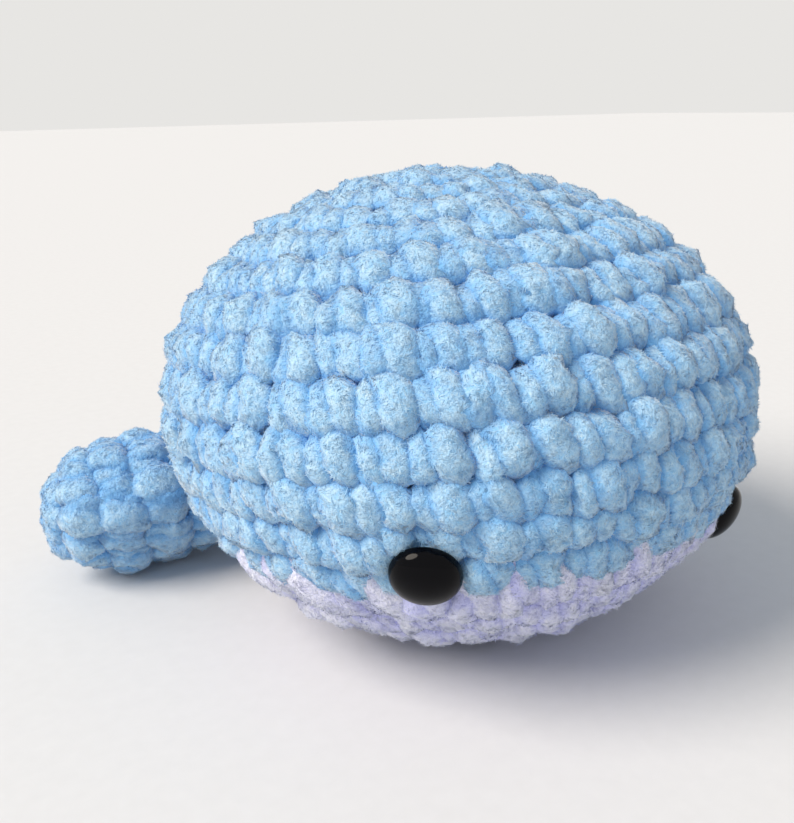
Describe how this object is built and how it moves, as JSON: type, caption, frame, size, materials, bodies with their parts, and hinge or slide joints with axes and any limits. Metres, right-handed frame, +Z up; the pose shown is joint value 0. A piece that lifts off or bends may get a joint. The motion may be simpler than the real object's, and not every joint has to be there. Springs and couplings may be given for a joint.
{
  "type": "crocheted plush whale",
  "caption": "Round crocheted plush whale in thick chenille yarn, with a blue back, a white belly, black dome eyes and a blue two-lobed tail sewn on behind.",
  "frame": {"origin": "centre of the flat patch of belly that rests on the table", "axes": "+Z up from the table, nose towards -Y, +X to the toy's own left, tail behind at +Y and a little towards -X"},
  "size_m": [0.1425, 0.1555, 0.0921],
  "materials": {
    "blue_yarn": "pale blue chenille yarn, velvety pile",
    "white_yarn": "white chenille yarn with a cool tint, velvety pile",
    "fibrefill": "loose white polyester fibre",
    "eye_plastic": "polished black",
    "washer_plastic": "milky, as moulded"
  },
  "bodies": {
    "body": {"back_fabric": "blue_yarn", "belly_fabric": "white_yarn", "body_stuffing": "fibrefill", "colour_change_knot": "blue_yarn", "closing_knot": "white_yarn"},
    "right_eye": {"eye_right": "eye_plastic", "eye_washer_right": "washer_plastic"},
    "left_eye": {"eye_left": "eye_plastic", "eye_washer_left": "washer_plastic"},
    "tail_root": {"tail_seam_yarn": "blue_yarn"},
    "tail": {"tail_stock": "blue_yarn", "tail_lobe_left": "blue_yarn", "tail_lobe_right": "blue_yarn", "tail_stuffing": "fibrefill"}
  },
  "joints": [
    {"name": "eye_right_spin", "type": "hinge", "parent": "body", "child": "right_eye", "pos_m": [-0.03528, -0.04614, 0.03325], "axis": [-0.5699, -0.7454, -0.3458], "continuous": true},
    {"name": "eye_left_spin", "type": "hinge", "parent": "body", "child": "left_eye", "pos_m": [0.03037, -0.04676, 0.02805], "axis": [0.4814, -0.7412, -0.4678], "continuous": true},
    {"name": "tail_sway", "type": "hinge", "parent": "body", "child": "tail_root", "pos_m": [-0.01895, 0.04575, 0.0166], "axis": [0, 0, 1], "range_deg": [-8, 8], "stiffness_Nm_per_rad": 0.15, "deforming": ["tail_seam_yarn"]},
    {"name": "tail_lift", "type": "hinge", "parent": "tail_root", "child": "tail", "pos_m": [-0.01895, 0.04575, 0.0166], "axis": [0.9239, 0.3827, 0], "range_deg": [0, 12], "stiffness_Nm_per_rad": 0.15, "deforming": ["tail_seam_yarn"]}
  ]
}
